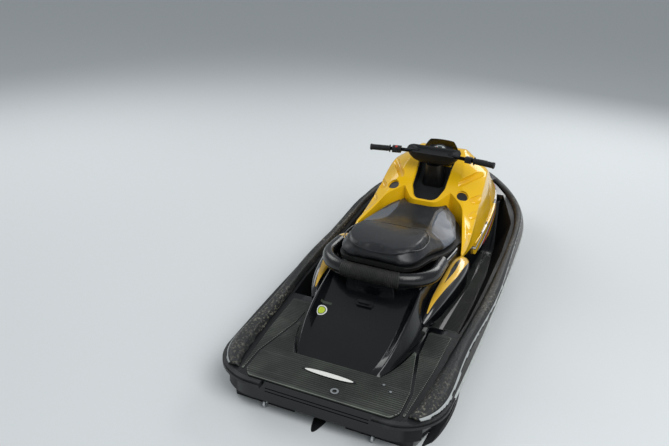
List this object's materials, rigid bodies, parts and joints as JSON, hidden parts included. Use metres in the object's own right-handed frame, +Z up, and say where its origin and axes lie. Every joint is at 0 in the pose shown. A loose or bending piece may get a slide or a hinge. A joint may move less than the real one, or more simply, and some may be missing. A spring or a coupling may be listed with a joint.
{
  "type": "personal watercraft",
  "caption": "Two-seat sit-down personal watercraft with yellow front cowl, black deck and saddle, padded gunwales, ribbed mats, handlebar and steerable water jet.",
  "frame": {"origin": "on the waterline plane, amidships, on the centre line", "axes": "+X to the bow, +Y to port, +Z up"},
  "size_m": [2.93, 1.14, 1.0204],
  "materials": {
    "gelcoat_black": "polished gelcoat on moulded composite",
    "gelcoat_hull": "polished gelcoat",
    "yellow_cowl": "gloss paint on moulded composite",
    "rub_rail": "extruded vinyl",
    "bumper": "moulded rubber",
    "gunwale_pad": "pebbled foam mat",
    "traction_mat": "grooved EVA foam",
    "badge": "plain white plate",
    "rubber_black": "moulded rubber",
    "side_graphics": "striped film under lacquer",
    "pod_graphics": "gelcoat with flame film",
    "seat_vinyl": "marine vinyl over foam",
    "seat_pan": "moulded plastic",
    "handle": "ribbed rubber over tube",
    "trim_black": "textured moulded plastic",
    "gauge": "clear lens over pale dial",
    "visor": "smoked acrylic",
    "bar": "black anodised tube",
    "grip": "ribbed rubber",
    "engine": "cast casing",
    "impeller": "machined stainless steel",
    "shaft": "ground stainless steel",
    "pump": "cast and painted",
    "plate": "cast and painted",
    "sponson": "moulded plastic",
    "stainless": "polished stainless steel",
    "hood_paint": "gloss paint on moulded composite"
  },
  "bodies": {
    "craft": {"lower_hull": "gelcoat_hull", "deck": "gelcoat_black", "hood_hinge": "stainless", "front_cowl": "yellow_cowl", "bow_bumper": "bumper", "stern_bumper_port": "bumper", "stern_bumper_starboard": "bumper", "rub_rail_port": "rub_rail", "rub_rail_starboard": "rub_rail", "gunwale_pad_port": "gunwale_pad", "gunwale_pad_starboard": "gunwale_pad", "rear_deck_mat": "traction_mat", "mat_badge": "badge", "ramp_mat_port": "traction_mat", "ramp_mat_starboard": "traction_mat", "footwell_mat_port": "traction_mat", "footwell_mat_starboard": "traction_mat", "cowl_caps": "rubber_black", "console": "trim_black", "side_panel_port": "side_graphics", "side_panel_starboard": "side_graphics", "side_pod_port": "pod_graphics", "side_pod_starboard": "pod_graphics", "grab_handle": "handle", "seat_latch": "trim_black", "column_cover": "trim_black", "gauge_pod": "trim_black", "gauge": "gauge", "visor": "visor", "engine_block": "engine", "pump_housing": "pump", "discharge_nozzle": "pump", "ride_plate": "plate", "intake_grate": "plate", "sponsons": "sponson", "bow_eye": "stainless", "stern_eyes": "stainless", "deck_fittings": "stainless"},
    "impeller": {"impeller": "impeller", "drive_shaft": "shaft"},
    "nozzle": {"steering_nozzle": "pump"},
    "handlebar": {"handlebar": "bar", "handlebar_pad": "trim_black", "grip_port": "grip", "grip_starboard": "grip", "switch_pod": "trim_black", "throttle": "trim_black"},
    "seat": {"seat": "seat_vinyl", "seat_pan": "seat_pan"},
    "hood": {"hood": "hood_paint"}
  },
  "joints": [
    {"name": "handlebar_steer", "type": "hinge", "parent": "craft", "child": "handlebar", "pos_m": [0.235, 0, 0.76], "axis": [-0.4226, 0, 0.9063], "range_deg": [-20, 20]},
    {"name": "nozzle_steer", "type": "hinge", "parent": "craft", "child": "nozzle", "pos_m": [-1.385, 0, -0.05], "axis": [0, 0, 1], "range_deg": [-20, 20]},
    {"name": "impeller_spin", "type": "hinge", "parent": "craft", "child": "impeller", "pos_m": [-1.08, 0, -0.05], "axis": [1, 0, 0], "continuous": true},
    {"name": "seat_lift", "type": "slide", "parent": "craft", "child": "seat", "axis": [-0.3502, 0, 0.9367], "range_m": [0, 0.3]},
    {"name": "hood_hinge", "type": "hinge", "parent": "craft", "child": "hood", "pos_m": [1.266, 0, 0.388], "axis": [0, 1, 0], "range_deg": [0, 55]}
  ],
  "couplings": [
    {"joint": "nozzle_steer", "follows": "handlebar_steer", "ratio": -1}
  ]
}
